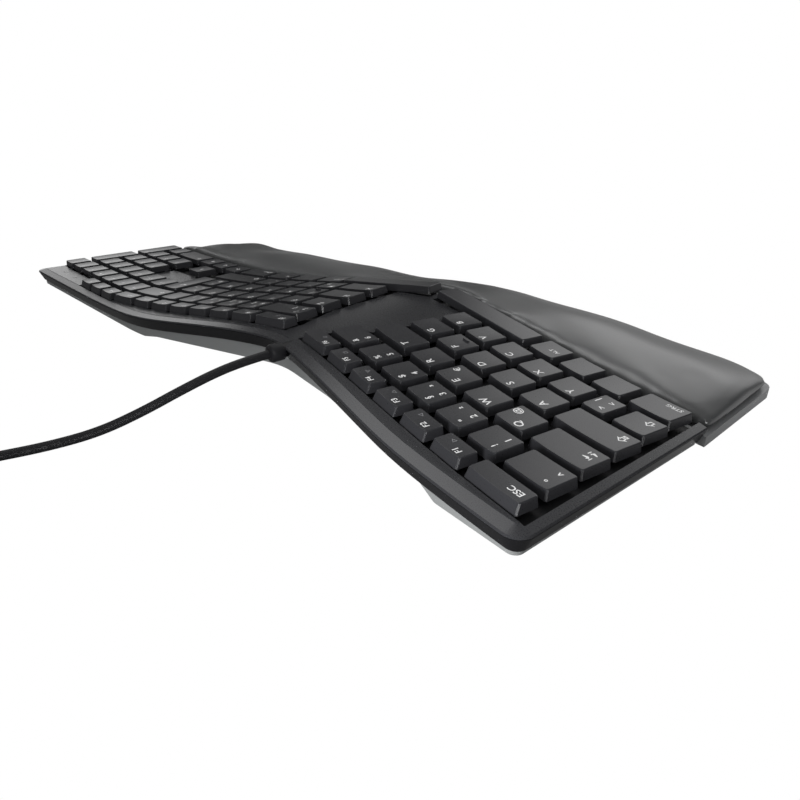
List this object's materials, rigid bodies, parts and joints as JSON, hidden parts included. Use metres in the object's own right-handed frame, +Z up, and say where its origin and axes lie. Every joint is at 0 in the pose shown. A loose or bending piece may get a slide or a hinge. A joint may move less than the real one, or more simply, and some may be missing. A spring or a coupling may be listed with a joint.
{
  "type": "ergonomic split keyboard",
  "caption": "Wired ergonomic keyboard with a domed split key field, number pad, sprung keys, padded palm rest and fold-out tilt feet under the palm rest.",
  "frame": {"origin": "bottom centre of the keyboard's bounding box, on the plane its rubber feet rest on, measured without the cord", "axes": "+X along the keyboard to the number pad, +Y to the rear edge where the cord leaves, +Z up"},
  "size_m": [0.473, 0.3943, 0.0308],
  "materials": {
    "keycaps": "satin",
    "deck": "fine texture",
    "band": "semi-gloss",
    "tray": "fine texture",
    "rest_base": "satin",
    "cushion": "fine-grained, over foam",
    "rubber_dome": "matte",
    "membrane": "thin printed film",
    "plate_steel": "plain",
    "wire_steel": "plain",
    "board": "solder mask",
    "light_lens": "clear lens, unlit",
    "pad_rubber": "matte",
    "cord_sleeve": "smooth",
    "plug_steel": "bright"
  },
  "bodies": {
    "case": {"key_domes": "rubber_dome", "stabilizer_bars": "wire_steel", "top_shell": "deck", "status_lights": "light_lens", "nav_panel": "deck", "edge_band": "band", "contact_membrane": "membrane", "key_plate": "plate_steel", "bottom_shell": "tray", "controller_board": "board", "case_screws": "wire_steel", "palm_rest_base": "rest_base", "palm_cushion": "cushion", "tilt_foot_pins": "wire_steel", "rubber_feet": "pad_rubber", "strain_relief": "cord_sleeve", "cord_run": "cord_sleeve", "cord_coil": "cord_sleeve", "coil_tie": "band", "plug_overmould": "band", "plug_shell": "plug_steel", "plug_tongue": "band"},
    "escape_key": {"escape_key": "keycaps"},
    "function_keys_left": {"function_keys_left": "keycaps"},
    "number_keys_left": {"number_keys_left": "keycaps"},
    "tab_key": {"tab_key": "keycaps"},
    "upper_letters_left": {"upper_letters_left": "keycaps"},
    "caps_lock_key": {"caps_lock_key": "keycaps"},
    "home_letters_left": {"home_letters_left": "keycaps"},
    "left_shift_key": {"left_shift_key": "keycaps"},
    "lower_letters_left": {"lower_letters_left": "keycaps"},
    "left_control_key": {"left_control_key": "keycaps"},
    "modifier_keys_left": {"modifier_keys_left": "keycaps"},
    "left_space_bar": {"left_space_bar": "keycaps"},
    "system_keys": {"system_keys": "keycaps"},
    "function_keys_right": {"function_keys_right": "keycaps"},
    "backspace_key": {"backspace_key": "keycaps"},
    "number_keys_right": {"number_keys_right": "keycaps"},
    "upper_letters_right": {"upper_letters_right": "keycaps"},
    "home_letters_right": {"home_letters_right": "keycaps"},
    "right_shift_key": {"right_shift_key": "keycaps"},
    "lower_letters_right": {"lower_letters_right": "keycaps"},
    "right_control_key": {"right_control_key": "keycaps"},
    "modifier_keys_right": {"modifier_keys_right": "keycaps"},
    "right_space_bar": {"right_space_bar": "keycaps"},
    "enter_key": {"enter_key": "keycaps"},
    "number_pad_top_row": {"number_pad_top_row": "keycaps"},
    "number_pad_seven_to_nine": {"number_pad_seven_to_nine": "keycaps"},
    "number_pad_four_to_six": {"number_pad_four_to_six": "keycaps"},
    "number_pad_lower_keys": {"number_pad_lower_keys": "keycaps"},
    "number_pad_plus_key": {"number_pad_plus_key": "keycaps"},
    "number_pad_enter_key": {"number_pad_enter_key": "keycaps"},
    "number_pad_zero_key": {"number_pad_zero_key": "keycaps"},
    "navigation_keys": {"navigation_keys": "keycaps"},
    "right_arrow_key": {"right_arrow_key": "keycaps"},
    "down_arrow_key": {"down_arrow_key": "keycaps"},
    "left_arrow_key": {"left_arrow_key": "keycaps"},
    "up_arrow_key": {"up_arrow_key": "keycaps"},
    "left_tilt_foot": {"left_tilt_foot": "tray"},
    "right_tilt_foot": {"right_tilt_foot": "tray"}
  },
  "joints": [
    {"name": "escape_key_press", "type": "slide", "parent": "case", "child": "escape_key", "axis": [0.0577, 0, -0.9983], "range_m": [0, 0.0023], "stiffness_N_per_m": 300, "springref_m": -0.0005},
    {"name": "function_keys_left_press", "type": "slide", "parent": "case", "child": "function_keys_left", "axis": [0.1062, 0, -0.9943], "range_m": [0, 0.0023], "stiffness_N_per_m": 1800, "springref_m": -0.0005},
    {"name": "number_keys_left_press", "type": "slide", "parent": "case", "child": "number_keys_left", "axis": [0.0993, 0, -0.9951], "range_m": [0, 0.0023], "stiffness_N_per_m": 2100, "springref_m": -0.0005},
    {"name": "tab_key_press", "type": "slide", "parent": "case", "child": "tab_key", "axis": [0.0544, 0, -0.9985], "range_m": [0, 0.0023], "stiffness_N_per_m": 300, "springref_m": -0.0005},
    {"name": "upper_letters_left_press", "type": "slide", "parent": "case", "child": "upper_letters_left", "axis": [0.1114, 0, -0.9938], "range_m": [0, 0.0023], "stiffness_N_per_m": 1500, "springref_m": -0.0005},
    {"name": "caps_lock_key_press", "type": "slide", "parent": "case", "child": "caps_lock_key", "axis": [0.0559, 0, -0.9984], "range_m": [0, 0.0023], "stiffness_N_per_m": 300, "springref_m": -0.0005},
    {"name": "home_letters_left_press", "type": "slide", "parent": "case", "child": "home_letters_left", "axis": [0.1137, 0, -0.9935], "range_m": [0, 0.0023], "stiffness_N_per_m": 1500, "springref_m": -0.0005},
    {"name": "left_shift_key_press", "type": "slide", "parent": "case", "child": "left_shift_key", "axis": [0.0466, 0, -0.9989], "range_m": [0, 0.0023], "stiffness_N_per_m": 300, "springref_m": -0.0005},
    {"name": "lower_letters_left_press", "type": "slide", "parent": "case", "child": "lower_letters_left", "axis": [0.106, 0, -0.9944], "range_m": [0, 0.0023], "stiffness_N_per_m": 1800, "springref_m": -0.0005},
    {"name": "left_control_key_press", "type": "slide", "parent": "case", "child": "left_control_key", "axis": [0.0481, 0, -0.9988], "range_m": [0, 0.0023], "stiffness_N_per_m": 300, "springref_m": -0.0005},
    {"name": "modifier_keys_left_press", "type": "slide", "parent": "case", "child": "modifier_keys_left", "axis": [0.0979, 0, -0.9952], "range_m": [0, 0.0023], "stiffness_N_per_m": 900, "springref_m": -0.0005},
    {"name": "left_space_bar_press", "type": "slide", "parent": "case", "child": "left_space_bar", "axis": [0.1123, 0, -0.9937], "range_m": [0, 0.0023], "stiffness_N_per_m": 300, "springref_m": -0.0005},
    {"name": "system_keys_press", "type": "slide", "parent": "case", "child": "system_keys", "axis": [-0.0209, 0, -0.9998], "range_m": [0, 0.0023], "stiffness_N_per_m": 1500, "springref_m": -0.0005},
    {"name": "function_keys_right_press", "type": "slide", "parent": "case", "child": "function_keys_right", "axis": [-0.0951, 0, -0.9955], "range_m": [0, 0.0023], "stiffness_N_per_m": 1800, "springref_m": -0.0005},
    {"name": "backspace_key_press", "type": "slide", "parent": "case", "child": "backspace_key", "axis": [-0.0346, 0, -0.9994], "range_m": [0, 0.0023], "stiffness_N_per_m": 300, "springref_m": -0.0005},
    {"name": "number_keys_right_press", "type": "slide", "parent": "case", "child": "number_keys_right", "axis": [-0.0951, 0, -0.9955], "range_m": [0, 0.0023], "stiffness_N_per_m": 1800, "springref_m": -0.0005},
    {"name": "upper_letters_right_press", "type": "slide", "parent": "case", "child": "upper_letters_right", "axis": [-0.091, 0, -0.9958], "range_m": [0, 0.0023], "stiffness_N_per_m": 2100, "springref_m": -0.0005},
    {"name": "home_letters_right_press", "type": "slide", "parent": "case", "child": "home_letters_right", "axis": [-0.0883, 0, -0.9961], "range_m": [0, 0.0023], "stiffness_N_per_m": 2100, "springref_m": -0.0005},
    {"name": "right_shift_key_press", "type": "slide", "parent": "case", "child": "right_shift_key", "axis": [-0.0403, 0, -0.9992], "range_m": [0, 0.0023], "stiffness_N_per_m": 300, "springref_m": -0.0005},
    {"name": "lower_letters_right_press", "type": "slide", "parent": "case", "child": "lower_letters_right", "axis": [-0.1024, 0, -0.9947], "range_m": [0, 0.0023], "stiffness_N_per_m": 1500, "springref_m": -0.0005},
    {"name": "right_control_key_press", "type": "slide", "parent": "case", "child": "right_control_key", "axis": [-0.0348, 0, -0.9994], "range_m": [0, 0.0023], "stiffness_N_per_m": 300, "springref_m": -0.0005},
    {"name": "modifier_keys_right_press", "type": "slide", "parent": "case", "child": "modifier_keys_right", "axis": [-0.0931, 0, -0.9957], "range_m": [0, 0.0023], "stiffness_N_per_m": 900, "springref_m": -0.0005},
    {"name": "right_space_bar_press", "type": "slide", "parent": "case", "child": "right_space_bar", "axis": [-0.0881, 0, -0.9961], "range_m": [0, 0.0023], "stiffness_N_per_m": 300, "springref_m": -0.0005},
    {"name": "enter_key_press", "type": "slide", "parent": "case", "child": "enter_key", "axis": [-0.0278, 0, -0.9996], "range_m": [0, 0.0023], "stiffness_N_per_m": 300, "springref_m": -0.0005},
    {"name": "number_pad_top_row_press", "type": "slide", "parent": "case", "child": "number_pad_top_row", "axis": [0.004, 0, -1], "range_m": [0, 0.0023], "stiffness_N_per_m": 1200, "springref_m": -0.0005},
    {"name": "number_pad_seven_to_nine_press", "type": "slide", "parent": "case", "child": "number_pad_seven_to_nine", "axis": [0.0037, 0, -1], "range_m": [0, 0.0023], "stiffness_N_per_m": 900, "springref_m": -0.0005},
    {"name": "number_pad_four_to_six_press", "type": "slide", "parent": "case", "child": "number_pad_four_to_six", "axis": [0.0037, 0, -1], "range_m": [0, 0.0023], "stiffness_N_per_m": 900, "springref_m": -0.0005},
    {"name": "number_pad_lower_keys_press", "type": "slide", "parent": "case", "child": "number_pad_lower_keys", "axis": [0.004, 0, -1], "range_m": [0, 0.0023], "stiffness_N_per_m": 1200, "springref_m": -0.0005},
    {"name": "number_pad_plus_key_press", "type": "slide", "parent": "case", "child": "number_pad_plus_key", "axis": [0.0049, 0, -1], "range_m": [0, 0.0023], "stiffness_N_per_m": 300, "springref_m": -0.0005},
    {"name": "number_pad_enter_key_press", "type": "slide", "parent": "case", "child": "number_pad_enter_key", "axis": [0.0049, 0, -1], "range_m": [0, 0.0023], "stiffness_N_per_m": 300, "springref_m": -0.0005},
    {"name": "number_pad_zero_key_press", "type": "slide", "parent": "case", "child": "number_pad_zero_key", "axis": [0.0034, 0, -1], "range_m": [0, 0.0023], "stiffness_N_per_m": 300, "springref_m": -0.0005},
    {"name": "navigation_keys_press", "type": "slide", "parent": "case", "child": "navigation_keys", "axis": [-0.0073, 0, -1], "range_m": [0, 0.0023], "stiffness_N_per_m": 1800, "springref_m": -0.0005},
    {"name": "right_arrow_key_press", "type": "slide", "parent": "case", "child": "right_arrow_key", "axis": [-0.0003, 0, -1], "range_m": [0, 0.0023], "stiffness_N_per_m": 300, "springref_m": -0.0005},
    {"name": "down_arrow_key_press", "type": "slide", "parent": "case", "child": "down_arrow_key", "axis": [-0.006, 0, -1], "range_m": [0, 0.0023], "stiffness_N_per_m": 300, "springref_m": -0.0005},
    {"name": "left_arrow_key_press", "type": "slide", "parent": "case", "child": "left_arrow_key", "axis": [-0.0157, 0, -0.9999], "range_m": [0, 0.0023], "stiffness_N_per_m": 300, "springref_m": -0.0005},
    {"name": "up_arrow_key_press", "type": "slide", "parent": "case", "child": "up_arrow_key", "axis": [-0.006, 0, -1], "range_m": [0, 0.0023], "stiffness_N_per_m": 300, "springref_m": -0.0005},
    {"name": "left_tilt_foot_hinge", "type": "hinge", "parent": "case", "child": "left_tilt_foot", "pos_m": [-0.15, -0.0427, 0.003], "axis": [1, 0, 0], "range_deg": [0, 75]},
    {"name": "right_tilt_foot_hinge", "type": "hinge", "parent": "case", "child": "right_tilt_foot", "pos_m": [0.15, -0.0427, 0.003], "axis": [1, 0, 0], "range_deg": [0, 75]}
  ]
}
